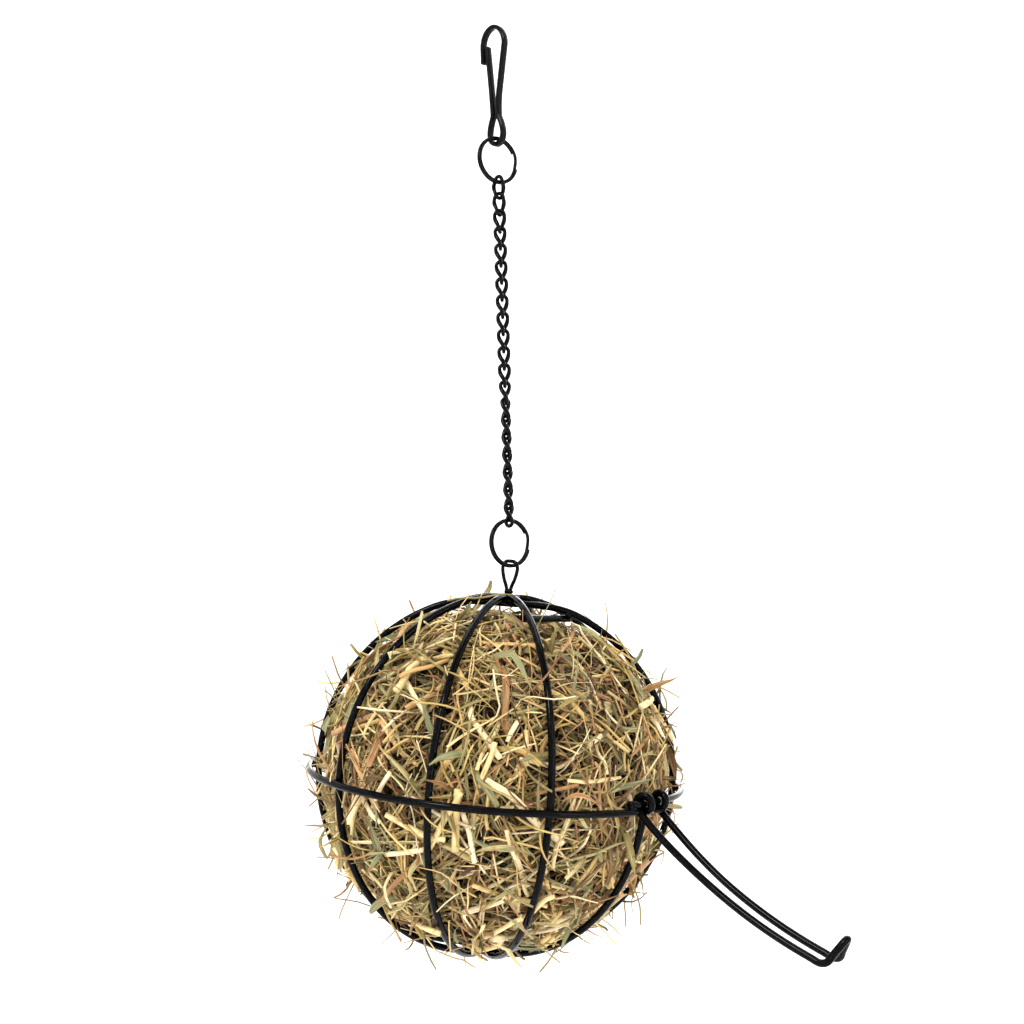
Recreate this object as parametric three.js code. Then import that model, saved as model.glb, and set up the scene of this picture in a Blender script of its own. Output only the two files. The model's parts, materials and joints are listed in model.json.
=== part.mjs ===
// Wire hay ball on a chain: snap hook, two split rings, twenty twisted links and a welded wire ball
// with a hinged wire door. Millimetres, +Z up. The origin is the inner top of the hook's arch, the
// chain hangs down -Z and +X points to the ball's door hinge. The door stands open.
import * as THREE from "three";

// Driving dimensions
const CLEARANCE = 0.3; // between pieces that touch
const LINK_SEAT = 0.65; // a split ring's square section rides this far off a link's round end
const HOOK_SEAT = 0.6; // and this far off the floor of the hook's eye

const HOOK_HEIGHT = 41;
const STRIP_THICKNESS = 1.5;
const STRIP_WIDTH = 2.3;
const ARCH_HALF_WIDTH = 4.4;
const ARCH_HEIGHT = 6.2;
const NOSE_DROP = 12; // from the arch's top to the end of the nose
const THROAT_DEPTH = 29.4; // where the gate's foot meets the eye
const THROAT_HALF_SPACING = 1.1;
const SPINE_BEND_DEPTH = 24; // above it the spine leans out to the arch
const SPINE_BEND_LENGTH = 4;
const HOOK_EYE_HALF_WIDTH = 2.65;
const HOOK_EYE_DEPTH = 3.4; // the round lower part of the eye
const GATE_TIP_DEPTH = 5.6;

const SPLIT_RING_DIAMETER = 15.4;
const SPLIT_RING_RADIAL = 1;
const SPLIT_RING_LAYER = 0.65;
const SPLIT_RING_LAYER_PITCH = 0.75;
const SPLIT_RING_TURN = 74; // degrees from +X to the ring's plane
const SPLIT_RING_START = 28; // degrees round the ring to its first end
const SPLIT_RING_STEP_START = 320; // degrees from the first end to the step between the layers
const SPLIT_RING_STEP_LENGTH = 35;
const SPLIT_RING_WOUND = 675;

const LINK_COUNT = 20;
const LINK_WIRE = 1.25;
const LINK_WIDTH = 4.4;
const LINK_PITCH = 5.65;
const LINK_TWIST = 90; // degrees between a link's upper and lower loop
// The upper loop of each link stands this many degrees from +X.
const LINK_TURN_FIRST = [-8, 9, 24];
const LINK_TURN_UPPER = 38;
const LINK_TURN_LOWER = 78;
const LAST_UPPER_LINK = 12;

const CAGE_WIRE = 2.2;
const BALL_DIAMETER = 120; // over the equator ring
const RIB_SPACING = 36; // degrees
const RIB_END_RADIUS = 4.5; // the ribs stop this far from the ball's axis
const RIB_BELOW_DOOR_START = 88; // polar angle, degrees
const DIP_REACH = 24; // degrees from a pole in which the inner hoop dips
const EQUATOR_START = -10.5; // degrees from the hinge to the ring's upper end
const EQUATOR_END = 352.8;
const BALL_TILT = 7.5; // degrees, the door's weight leans the ball
const EYE_WIRE = 1.2;
const EYE_HEIGHT = 10.4;
const EYE_WIDTH = 7;
const EYE_SHOULDER_DROP = 1.9;
const EYE_CROWN_DROP = 0.25;
const CATCH_POLAR_ANGLE = 16.5;
const CATCH_LENGTH = 27;

const DOOR_WIRE = 2.2;
const DOOR_REACH = 69.7; // from the hinge axis to the door's far corners
const DOOR_BULGE = 4.1;
const DOOR_HALF_WIDTH = 4.2;
const DOOR_HOOK_DEPTH = 8.5;
const DOOR_CORNER = 1.4;
const DOOR_COIL_TURNS = 1.25;
const DOOR_COIL_START = 2.6; // half the gap between the two coils' free ends, along the hinge
const DOOR_DROOP = 29.3; // degrees that the open door stands below the equator

const HAY_RADIUS = 38;
const HAY_OFFSET = [12, 0, -6]; // the hay settles low and towards the door

// Derived places
const EQUATOR_RADIUS = (BALL_DIAMETER - CAGE_WIRE) / 2;
const RIB_RADIUS = EQUATOR_RADIUS - CAGE_WIRE - CLEARANCE;
const RING_INNER_RADIUS = SPLIT_RING_DIAMETER / 2 - SPLIT_RING_RADIAL;
const LINK_INNER_LENGTH = LINK_PITCH + CLEARANCE;
const HOOK_EYE_FLOOR = 2 * STRIP_THICKNESS - HOOK_HEIGHT;
const UPPER_RING_Z = HOOK_EYE_FLOOR + HOOK_SEAT - RING_INNER_RADIUS;
const FIRST_LINK_Z = UPPER_RING_Z - RING_INNER_RADIUS + LINK_SEAT - LINK_INNER_LENGTH / 2;
const LAST_LINK_FLOOR = FIRST_LINK_Z - (LINK_COUNT - 1) * LINK_PITCH - LINK_INNER_LENGTH / 2;
const LOWER_RING_Z = LAST_LINK_FLOOR + LINK_SEAT - RING_INNER_RADIUS;
const BALL_PIVOT_Z = LOWER_RING_Z - RING_INNER_RADIUS + CLEARANCE;
const POLE_HEIGHT = RIB_RADIUS + CAGE_WIRE / 2;
const BALL_CENTRE_BELOW_PIVOT = POLE_HEIGHT + CLEARANCE + EYE_HEIGHT - EYE_WIRE;

const SHOULDER_DEPTH = ARCH_HEIGHT - STRIP_THICKNESS / 2;

const at = (x, z) => new THREE.Vector2(x, z);
const radians = THREE.MathUtils.degToRad;
const smooth = (x) => THREE.MathUtils.smoothstep(x, 0, 1);

const blackLacquer = () => new THREE.MeshStandardMaterial({ color: 0x0c0c0e, roughness: 0.2, metalness: 0.4 });
const hayColour = () => new THREE.MeshStandardMaterial({ color: 0xa99a5e, roughness: 0.9, metalness: 0 });

// A curve from a plain function of t in 0..1
class FormulaCurve extends THREE.Curve {
  constructor(formula) {
    super();
    this.formula = formula;
  }

  getPoint(t) {
    return this.formula(t);
  }
}

function roundSection(diameter, sides) {
  const corners = [];
  for (let i = 0; i < sides; i++) {
    const angle = (2 * Math.PI * i) / sides;
    corners.push(new THREE.Vector2(Math.cos(angle), Math.sin(angle)).multiplyScalar(diameter / 2));
  }
  return new THREE.Shape(corners);
}

// Wire with two ends along a curve
function openWire(curve, diameter, steps) {
  return new THREE.ExtrudeGeometry(roundSection(diameter, 6), { extrudePath: curve, steps });
}

// Wire without ends: a torus laid along a closed curve
function closedWire(curve, diameter, steps) {
  const sides = 6;
  const geometry = new THREE.TorusGeometry(1, diameter / 2, sides, steps);
  const frames = curve.computeFrenetFrames(steps, true);
  const position = geometry.attributes.position;
  for (let side = 0; side <= sides; side++) {
    const angle = (2 * Math.PI * (side % sides)) / sides;
    for (let step = 0; step <= steps; step++) {
      const stop = step % steps;
      const point = curve.getPointAt(stop / steps);
      point.addScaledVector(frames.normals[stop], (Math.cos(angle) * diameter) / 2);
      point.addScaledVector(frames.binormals[stop], (-Math.sin(angle) * diameter) / 2);
      position.setXYZ(side * (steps + 1) + step, point.x, point.y, point.z);
    }
  }
  return geometry;
}

function piece(name, geometry, material) {
  const mesh = new THREE.Mesh(geometry, material);
  mesh.name = name;
  return mesh;
}

// A flat strip bent along a centre line of the X-Z plane, closed into one outline
function bentStrip(centreLine, steps) {
  const left = [];
  const right = [];
  for (let i = 0; i <= steps; i++) {
    const point = centreLine.getPointAt(i / steps);
    const tangent = centreLine.getTangentAt(i / steps);
    const side = new THREE.Vector2(-tangent.y, tangent.x).multiplyScalar(STRIP_THICKNESS / 2);
    left.push(point.clone().add(side));
    right.push(point.clone().sub(side));
  }
  const outline = new THREE.Shape([...left, ...right.reverse()]);
  const geometry = new THREE.ExtrudeGeometry(outline, { depth: STRIP_WIDTH, bevelEnabled: false });
  geometry.translate(0, 0, -STRIP_WIDTH / 2);
  geometry.rotateX(Math.PI / 2);
  return geometry;
}

// Eye, spine, arch and nose are one strip.
function snapHookBody() {
  const eyeFloor = STRIP_THICKNESS * 1.5 - HOOK_HEIGHT;
  const eyeMiddle = eyeFloor + HOOK_EYE_DEPTH;
  const eyeTop = THROAT_DEPTH + 2 * CLEARANCE + STRIP_THICKNESS / 2;
  const leftOfThroat = -THROAT_HALF_SPACING - CLEARANCE;
  const noseEnd = STRIP_THICKNESS - NOSE_DROP;
  const bendTop = SPINE_BEND_LENGTH - SPINE_BEND_DEPTH;
  const lean = (ARCH_HALF_WIDTH - THROAT_HALF_SPACING) / (SPINE_BEND_DEPTH - SHOULDER_DEPTH);
  const leanedOut = at(THROAT_HALF_SPACING + lean * SPINE_BEND_LENGTH, bendTop);
  const bendCorner = at(THROAT_HALF_SPACING, -SPINE_BEND_DEPTH);
  const spineFoot = at(THROAT_HALF_SPACING, -SPINE_BEND_DEPTH - SPINE_BEND_LENGTH);
  const throat = at(THROAT_HALF_SPACING, -THROAT_DEPTH);
  const eyeDepth = eyeMiddle - eyeFloor;
  const line = new THREE.CurvePath();
  line.add(new THREE.QuadraticBezierCurve(
    at(leftOfThroat, -eyeTop),
    at(-HOOK_EYE_HALF_WIDTH, -THROAT_DEPTH - HOOK_EYE_DEPTH),
    at(-HOOK_EYE_HALF_WIDTH, eyeMiddle),
  ));
  line.add(new THREE.EllipseCurve(0, eyeMiddle, HOOK_EYE_HALF_WIDTH, eyeDepth, Math.PI, 2 * Math.PI));
  line.add(new THREE.QuadraticBezierCurve(
    at(HOOK_EYE_HALF_WIDTH, eyeMiddle),
    at(HOOK_EYE_HALF_WIDTH, -THROAT_DEPTH - HOOK_EYE_DEPTH),
    throat,
  ));
  line.add(new THREE.LineCurve(throat, spineFoot));
  line.add(new THREE.QuadraticBezierCurve(spineFoot, bendCorner, leanedOut));
  line.add(new THREE.LineCurve(leanedOut, at(ARCH_HALF_WIDTH, -SHOULDER_DEPTH)));
  line.add(new THREE.EllipseCurve(0, -SHOULDER_DEPTH, ARCH_HALF_WIDTH, ARCH_HEIGHT, 0, Math.PI));
  line.add(new THREE.LineCurve(at(-ARCH_HALF_WIDTH, -SHOULDER_DEPTH), at(-ARCH_HALF_WIDTH, noseEnd)));
  return piece("snap_hook_body", bentStrip(line, 72), blackLacquer());
}

// The sprung gate closes against the inside of the nose.
function snapHookGate() {
  const foot = at(-THROAT_HALF_SPACING, CLEARANCE - THROAT_DEPTH);
  const bend = at(-THROAT_HALF_SPACING, -SPINE_BEND_DEPTH);
  const tip = at(CLEARANCE + STRIP_THICKNESS - ARCH_HALF_WIDTH, -GATE_TIP_DEPTH);
  const line = new THREE.QuadraticBezierCurve(foot, bend, tip);
  return piece("snap_hook_gate", bentStrip(line, 10), blackLacquer());
}

// Two turns of flat wire: the step from one layer to the next is over before the first end.
function splitRing(name, z) {
  const radius = (SPLIT_RING_DIAMETER - SPLIT_RING_RADIAL) / 2;
  const path = new FormulaCurve((t) => {
    const wound = t * SPLIT_RING_WOUND;
    const layer = smooth((wound - SPLIT_RING_STEP_START) / SPLIT_RING_STEP_LENGTH) - 0.5;
    const angle = radians(SPLIT_RING_START + wound);
    return new THREE.Vector3(radius * Math.cos(angle), radius * Math.sin(angle), layer * SPLIT_RING_LAYER_PITCH);
  });
  const section = new THREE.Shape([
    new THREE.Vector2(-SPLIT_RING_LAYER / 2, -SPLIT_RING_RADIAL / 2),
    new THREE.Vector2(SPLIT_RING_LAYER / 2, -SPLIT_RING_RADIAL / 2),
    new THREE.Vector2(SPLIT_RING_LAYER / 2, SPLIT_RING_RADIAL / 2),
    new THREE.Vector2(-SPLIT_RING_LAYER / 2, SPLIT_RING_RADIAL / 2),
  ]);
  const geometry = new THREE.ExtrudeGeometry(section, { extrudePath: path, steps: 54 });
  const ring = piece(name, geometry, blackLacquer());
  ring.rotation.x = Math.PI / 2;
  const turned = new THREE.Group();
  turned.add(ring);
  turned.rotation.z = radians(SPLIT_RING_TURN);
  turned.position.z = z;
  return turned;
}

// A long oval whose lower half is twisted a quarter turn against its upper half
function twistedOval() {
  const bend = (LINK_WIDTH - LINK_WIRE) / 2;
  const straight = LINK_INNER_LENGTH + LINK_WIRE - 2 * bend;
  const quarterBend = (Math.PI * bend) / 2;
  const length = 4 * quarterBend + 2 * straight;
  const sideAndHeight = (run) => {
    if (run < 2 * quarterBend) {
      const angle = run / bend;
      return [bend * Math.cos(angle), straight / 2 + bend * Math.sin(angle)];
    }
    return [-bend, straight / 2 - (run - 2 * quarterBend)];
  };
  const twistedPart = straight + bend;
  return new FormulaCurve((t) => {
    const run = (t % 1) * length;
    const half = length / 2;
    const [side, height] = sideAndHeight(run % half);
    const sign = run < half ? 1 : -1;
    const twist = radians(LINK_TWIST) * smooth(0.5 - (sign * height) / twistedPart);
    return new THREE.Vector3(sign * side * Math.cos(twist), sign * side * Math.sin(twist), sign * height);
  });
}

function linkTurn(number) {
  if (number <= LINK_TURN_FIRST.length) return LINK_TURN_FIRST[number - 1];
  if (number <= LAST_UPPER_LINK) return LINK_TURN_UPPER;
  if (number === LAST_UPPER_LINK + 1) return (LINK_TURN_UPPER + LINK_TURN_LOWER) / 2;
  return LINK_TURN_LOWER;
}

function chainLink(number) {
  const name = `chain_link_${String(number).padStart(2, "0")}`;
  const link = piece(name, closedWire(twistedOval(), LINK_WIRE, 18), blackLacquer());
  link.rotation.z = radians(linkTurn(number));
  link.position.z = FIRST_LINK_Z - (number - 1) * LINK_PITCH;
  return link;
}

// One wire from the pole round a square-shouldered loop and back
function hangingEye() {
  const foot = (EYE_WIRE + CLEARANCE) / 2;
  const shoulder = (EYE_WIDTH - EYE_WIRE) / 2;
  const floor = POLE_HEIGHT + CLEARANCE;
  const top = floor + EYE_HEIGHT - EYE_WIRE / 2;
  const half = [
    new THREE.Vector3(-foot, 0, floor),
    new THREE.Vector3(-shoulder * 0.72, 0, floor + EYE_HEIGHT * 0.42),
    new THREE.Vector3(-shoulder, 0, top - EYE_SHOULDER_DROP),
    new THREE.Vector3(-shoulder * 0.62, 0, top - EYE_CROWN_DROP),
  ];
  const otherHalf = half.map((point) => new THREE.Vector3(-point.x, 0, point.z)).reverse();
  const path = new THREE.CatmullRomCurve3([...half, new THREE.Vector3(0, 0, top), ...otherHalf]);
  return piece("hanging_eye", openWire(path, EYE_WIRE, 36), blackLacquer());
}

// A full hoop over both poles. The inner one dips under the outer one where they cross.
function cageHoop(name, longitude, dip) {
  const path = new FormulaCurve((t) => {
    const angle = 2 * Math.PI * t;
    const fromPole = Math.min(Math.abs(Math.asin(Math.sin(angle))), Math.PI / 2);
    const radius = RIB_RADIUS - dip * (1 - smooth(fromPole / radians(DIP_REACH)));
    return new THREE.Vector3(radius * Math.sin(angle), 0, radius * Math.cos(angle));
  });
  const hoop = piece(name, closedWire(path, CAGE_WIRE, 48), blackLacquer());
  hoop.rotation.z = radians(longitude);
  return hoop;
}

// A rib from polar angle `from` to the bottom pole
function cageRib(name, longitude, from) {
  const to = 180 - THREE.MathUtils.radToDeg(Math.asin(RIB_END_RADIUS / RIB_RADIUS));
  const path = new FormulaCurve((t) => {
    const angle = radians(from + (to - from) * t);
    return new THREE.Vector3(RIB_RADIUS * Math.sin(angle), 0, RIB_RADIUS * Math.cos(angle));
  });
  const steps = Math.round((to - from) / 8);
  const rib = piece(name, openWire(path, CAGE_WIRE, steps), blackLacquer());
  rib.rotation.z = radians(longitude);
  return rib;
}

// The ring drops slowly round its turn, so its ends lie one above the other beside the door hinge.
function equatorRing() {
  const path = new FormulaCurve((t) => {
    const turned = (EQUATOR_END - EQUATOR_START) * t;
    const drop = (CAGE_WIRE + CLEARANCE) * (turned / 360);
    const angle = radians(EQUATOR_START + turned);
    return new THREE.Vector3(EQUATOR_RADIUS * Math.cos(angle), EQUATOR_RADIUS * Math.sin(angle), -drop);
  });
  return piece("equator_ring", openWire(path, CAGE_WIRE, 60), blackLacquer());
}

// A bar across the loading gap, on the inside of the two hoops
function doorCatchBar() {
  const angle = radians(CATCH_POLAR_ANGLE);
  const crossingRadius = RIB_RADIUS - CAGE_WIRE - CLEARANCE * 1.5;
  const reach = Math.sin(angle) * Math.tan(radians(RIB_SPACING)); // from the bar's middle to a hoop
  const radius = crossingRadius / Math.hypot(1, reach);
  const geometry = new THREE.CylinderGeometry(CAGE_WIRE / 2, CAGE_WIRE / 2, CATCH_LENGTH, 8);
  const bar = piece("door_catch_bar", geometry, blackLacquer());
  bar.position.set(radius * Math.sin(angle), 0, radius * Math.cos(angle));
  return bar;
}

// The door is one wire: a coil round the equator ring, one side, the pointed hook at the tip, the
// other side and its coil. It is drawn along +X with the hinge axis on Y.
function doorHalf() {
  const coilRadius = CAGE_WIRE / 2 + CLEARANCE + DOOR_WIRE / 2;
  const coilEnd = DOOR_COIL_START + DOOR_COIL_TURNS * (DOOR_WIRE + CLEARANCE / 2);
  const points = [];
  const coilSteps = 14;
  for (let i = 0; i <= coilSteps; i++) {
    const run = i / coilSteps;
    const angle = 2 * Math.PI * DOOR_COIL_TURNS * (run - 1) - Math.PI / 2;
    const y = THREE.MathUtils.lerp(DOOR_COIL_START, coilEnd, run);
    points.push(new THREE.Vector3(coilRadius * Math.cos(angle), y, coilRadius * Math.sin(angle)));
  }
  const sideSteps = 8;
  for (let i = 1; i < sideSteps; i++) {
    const run = i / sideSteps;
    const y = THREE.MathUtils.lerp(coilEnd, DOOR_HALF_WIDTH, smooth(run * 2));
    const z = -coilRadius * (1 - run) - 4 * DOOR_BULGE * run * (1 - run);
    points.push(new THREE.Vector3(DOOR_REACH * run, y, z));
  }
  points.push(new THREE.Vector3(DOOR_REACH - DOOR_CORNER, DOOR_HALF_WIDTH, -0.4));
  points.push(new THREE.Vector3(DOOR_REACH, DOOR_HALF_WIDTH * 0.94, 1));
  points.push(new THREE.Vector3(DOOR_REACH, DOOR_HALF_WIDTH * 0.62, DOOR_HOOK_DEPTH * 0.45));
  return points;
}

function doorWire() {
  const half = doorHalf();
  const otherHalf = half.map((point) => new THREE.Vector3(point.x, -point.y, point.z)).reverse();
  const tip = new THREE.Vector3(DOOR_REACH, 0, DOOR_HOOK_DEPTH);
  const path = new THREE.CatmullRomCurve3([...half, tip, ...otherHalf], false, "centripetal");
  const door = piece("door_wire", openWire(path, DOOR_WIRE, 120), blackLacquer());
  door.position.x = EQUATOR_RADIUS;
  door.rotation.y = radians(DOOR_DROOP);
  return door;
}

function hayCore() {
  const hay = piece("hay_fill", new THREE.SphereGeometry(HAY_RADIUS, 20, 14), hayColour());
  hay.geometry.rotateX(Math.PI / 2);
  hay.position.set(...HAY_OFFSET);
  return hay;
}

function ball() {
  const group = new THREE.Group();
  group.add(hangingEye());
  group.add(cageHoop("cage_hoop_outer", -RIB_SPACING, 0));
  group.add(cageHoop("cage_hoop_inner", RIB_SPACING, CAGE_WIRE + CLEARANCE));
  const topEnd = THREE.MathUtils.radToDeg(Math.asin(RIB_END_RADIUS / RIB_RADIUS));
  [2, 3, 5, -3, -2].forEach((place, i) => {
    group.add(cageRib(`cage_rib_${i + 1}`, place * RIB_SPACING, topEnd));
  });
  group.add(cageRib("cage_rib_below_door", 0, RIB_BELOW_DOOR_START));
  group.add(equatorRing());
  group.add(doorCatchBar());
  group.add(doorWire());
  group.add(hayCore());
  group.position.z = -BALL_CENTRE_BELOW_PIVOT;
  const tilted = new THREE.Group();
  tilted.add(group);
  tilted.rotation.y = radians(BALL_TILT);
  tilted.position.z = BALL_PIVOT_Z;
  return tilted;
}

const hayBall = new THREE.Group();
hayBall.add(snapHookBody());
hayBall.add(snapHookGate());
hayBall.add(splitRing("split_ring_upper", UPPER_RING_Z));
for (let number = 1; number <= LINK_COUNT; number++) {
  hayBall.add(chainLink(number));
}
hayBall.add(splitRing("split_ring_lower", LOWER_RING_Z));
hayBall.add(ball());

export default hayBall;
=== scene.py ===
import json
import math

import bpy
import numpy as np
from mathutils import Matrix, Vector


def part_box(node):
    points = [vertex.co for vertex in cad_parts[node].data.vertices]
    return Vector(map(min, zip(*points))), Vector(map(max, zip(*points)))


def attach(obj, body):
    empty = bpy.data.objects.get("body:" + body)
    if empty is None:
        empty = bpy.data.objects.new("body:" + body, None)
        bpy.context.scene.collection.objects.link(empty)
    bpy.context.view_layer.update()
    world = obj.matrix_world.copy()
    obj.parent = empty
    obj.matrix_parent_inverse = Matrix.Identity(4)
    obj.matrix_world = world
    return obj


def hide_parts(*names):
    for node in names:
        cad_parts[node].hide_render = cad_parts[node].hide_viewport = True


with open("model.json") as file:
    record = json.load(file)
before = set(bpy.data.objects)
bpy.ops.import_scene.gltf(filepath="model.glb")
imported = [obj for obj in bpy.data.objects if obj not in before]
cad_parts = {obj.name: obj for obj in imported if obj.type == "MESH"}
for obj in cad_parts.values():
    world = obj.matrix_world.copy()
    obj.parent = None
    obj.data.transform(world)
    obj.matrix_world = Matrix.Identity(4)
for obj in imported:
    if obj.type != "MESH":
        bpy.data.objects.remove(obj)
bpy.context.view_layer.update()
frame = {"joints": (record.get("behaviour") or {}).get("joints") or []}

# Shapes are worked out in millimetres and written in metres.
MM = 0.001
SLOT_WIRE = "black_lacquered_wire"
SLOT_HAY = "hay"

# ---------------------------------------------------------------- places read from the frame


def node_box(name):
    low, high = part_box(name)
    return np.array(low) / MM, np.array(high) / MM


def node_middle(name):
    low, high = node_box(name)
    return (low + high) / 2


def joint(name):
    return next(j for j in frame["joints"] if j["name"] == name)


BALL_CENTRE = node_middle("cage_hoop_outer")
DOOR_HINGE = np.array(joint("door_hinge")["pos_m"]) / MM
PIVOT = np.array(joint("ball_swing")["pos_m"]) / MM
BALL_X = (DOOR_HINGE - BALL_CENTRE) / np.linalg.norm(DOOR_HINGE - BALL_CENTRE)
BALL_Y = np.array([0.0, 1.0, 0.0])
BALL_Z = np.cross(BALL_X, BALL_Y)
BALL_AXES = np.array([BALL_X, BALL_Y, BALL_Z])
EQUATOR_RADIUS = np.linalg.norm(DOOR_HINGE - BALL_CENTRE)

# ---------------------------------------------------------------- dimensions, millimetres

CLEARANCE = 0.3
TOUCH = 0.04  # between a wire's own turns, or its ends where they lap

STRIP_THICKNESS = 1.5
STRIP_WIDTH = 2.3
HOOK_HEIGHT = 41.0
ARCH_HALF_WIDTH = 4.4
ARCH_HEIGHT = 6.2
NOSE_DROP = 12.0
THROAT_DEPTH = 29.4
THROAT_HALF_SPACING = 1.1
SPINE_BEND_DEPTH = 24.0
SPINE_BEND_LENGTH = 4.0
HOOK_EYE_HALF_WIDTH = 2.65
HOOK_EYE_DEPTH = 3.4
GATE_TIP_DEPTH = 5.6

RING_DIAMETER = 15.4
RING_RADIAL = 1.0
RING_OUTWARD = 0.2  # how much wider the ring's wire is than its CAD solid, all on the outside
RING_LAYER = 0.65
RING_PITCH = 0.75
RING_TURN = 74.0
RING_START = 28.0
RING_STEP_START = 320.0
RING_STEP_LENGTH = 35.0
RING_WOUND = 675.0

LINK_COUNT = 20
LINK_WIRE = 1.25
LINK_LINE_WIDTH = 3.15  # across a link, from wire middle to wire middle
LINK_INNER_LENGTH = 5.95
LINK_TWIST = 90.0
LINK_SWELL = 0.2  # share by which the wire is thicker on a link's sides than at its bends
LINK_TURN_FIRST = (-8.0, 9.0, 24.0)
LINK_TURN_UPPER = 38.0
LINK_TURN_LOWER = 78.0
LAST_UPPER_LINK = 12
LINK_SIDES = 12
LINK_STEPS = 56
LINK_SEAM = 0.62  # where round the link the wire's ends butt, on a straight side
LINK_SEAM_DEPTH = 0.09

CAGE_WIRE = 2.2
MERIDIANS = 10
RIB_SPACING = 360.0 / MERIDIANS
SHORT_RIBS = (2, 3, 5, -3, -2)  # the meridians of cage_rib_1 to cage_rib_5
NO_RIB_AT_TOP = (0, 1, 4, 6, 9)  # the open gap and the two hoops' meridians
RIB_RADIUS = EQUATOR_RADIUS - CAGE_WIRE - CLEARANCE
RIB_DIP = CAGE_WIRE + CLEARANCE
HOOP_NEST = 0.2  # how far the inner hoop dips less than the full dip
DIP_REACH = 24.0
RIB_END_POLAR = 4.2  # where the weld beads of the short ribs' ends lie
HUB_RADIUS = 2.6  # the short ribs reach this near to the axis, inside the pole's weld
HUB_DIP = 0.5
HUB_DIP_REACH = 9.0
RIB_BELOW_DOOR_START = 87.6
EYE_WIRE = 1.2
EYE_HEIGHT = 10.4
EYE_WIDTH = 7.0
EYE_SIDES = 12
EYE_FOOT = 0.55
EYE_SINK = 0.3  # how far the eye's ends sink into the hoop under them
EQUATOR_START = -10.5
EQUATOR_END = 352.8
CATCH_POLAR = 16.5
CATCH_LENGTH = 27.0

DOOR_WIRE = 2.2
DOOR_REACH = 69.7
DOOR_BULGE = 4.1
DOOR_HALF_WIDTH = 4.2
DOOR_HOOK_DEPTH = 8.5
DOOR_COIL_TURNS = 1.25
DOOR_COIL_START = 2.6
DOOR_DROOP = 29.3
DOOR_TRAVEL = max(joint("door_hinge")["range_deg"])

WIRE_SIDES = 20
END_ROUNDING = 0.25  # share of a section's half width that its cut ends are rounded by
END_STEPS = ((-1.0, 0.62), (-0.72, 0.86), (-0.3, 0.97))  # place past the end, then section scale


# ---------------------------------------------------------------- small maths


def unit(v):
    return v / np.maximum(np.linalg.norm(v, axis=-1, keepdims=True), 1e-12)


def smooth(x):
    x = np.clip(x, 0.0, 1.0)
    return x * x * (3 - 2 * x)


def turned_z(points, degrees):
    c, s = math.cos(math.radians(degrees)), math.sin(math.radians(degrees))
    return points @ np.array([[c, s, 0], [-s, c, 0], [0, 0, 1]])


def in_ball(points):
    """Ball-frame millimetres to row-frame millimetres."""
    return BALL_CENTRE + points @ BALL_AXES


def catmull_rom(controls, per_span, power=0.5):
    """A centripetal curve through the control points."""
    p = np.array(controls, float)
    p = np.vstack([2 * p[0] - p[1], p, 2 * p[-1] - p[-2]])
    out = []
    for i in range(1, len(p) - 2):
        a, b, c, d = p[i - 1], p[i], p[i + 1], p[i + 2]
        t0 = 0.0
        t1 = t0 + np.linalg.norm(b - a) ** power
        t2 = t1 + np.linalg.norm(c - b) ** power
        t3 = t2 + np.linalg.norm(d - c) ** power
        for t in np.linspace(t1, t2, per_span, endpoint=False):
            a1 = a + (b - a) * (t - t0) / (t1 - t0)
            a2 = b + (c - b) * (t - t1) / (t2 - t1)
            a3 = c + (d - c) * (t - t2) / (t3 - t2)
            b1 = a1 + (a2 - a1) * (t - t0) / (t2 - t0)
            b2 = a2 + (a3 - a2) * (t - t1) / (t3 - t1)
            out.append(b1 + (b2 - b1) * (t - t1) / (t2 - t1))
    out.append(p[-2])
    return np.array(out)


def even(points, step):
    """The same line with its points a given step apart."""
    run = np.concatenate([[0], np.cumsum(np.linalg.norm(np.diff(points, axis=0), axis=1))])
    count = max(2, int(round(run[-1] / step)) + 1)
    at = np.linspace(0, run[-1], count)
    return np.stack([np.interp(at, run, points[:, k]) for k in range(3)], axis=1)


# ---------------------------------------------------------------- meshes


def new_piece(name, verts, faces, material, body, slot, flat=False):
    mesh = bpy.data.meshes.new(name)
    mesh.from_pydata((np.asarray(verts) * MM).tolist(), [], faces)
    mesh.polygons.foreach_set("use_smooth", [not flat] * len(mesh.polygons))
    mesh.materials.append(material)
    mesh.validate()
    mesh.update()
    obj = bpy.data.objects.new(name, mesh)
    bpy.context.scene.collection.objects.link(obj)
    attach(obj, body)
    return obj


def joined(parts):
    """Several (verts, faces) as one."""
    verts, faces, base = [], [], 0
    for v, f in parts:
        verts.append(np.asarray(v))
        faces.extend([[i + base for i in face] for face in f])
        base += len(v)
    return np.vstack(verts), faces


def round_section(diameter, sides=WIRE_SIDES):
    angle = np.linspace(0, 2 * np.pi, sides, endpoint=False)
    return np.stack([np.cos(angle), np.sin(angle)], axis=1) * diameter / 2


def strip_section(width, height, corner, corner_steps=3):
    """A rectangle with rounded corners."""
    out = []
    for cx, cy, start in ((1, 1, 0), (-1, 1, 90), (-1, -1, 180), (1, -1, 270)):
        for a in np.radians(np.linspace(start, start + 90, corner_steps + 1)):
            out.append([
                cx * (width / 2 - corner) + corner * math.cos(a),
                cy * (height / 2 - corner) + corner * math.sin(a),
            ])
    return np.array(out)


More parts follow.
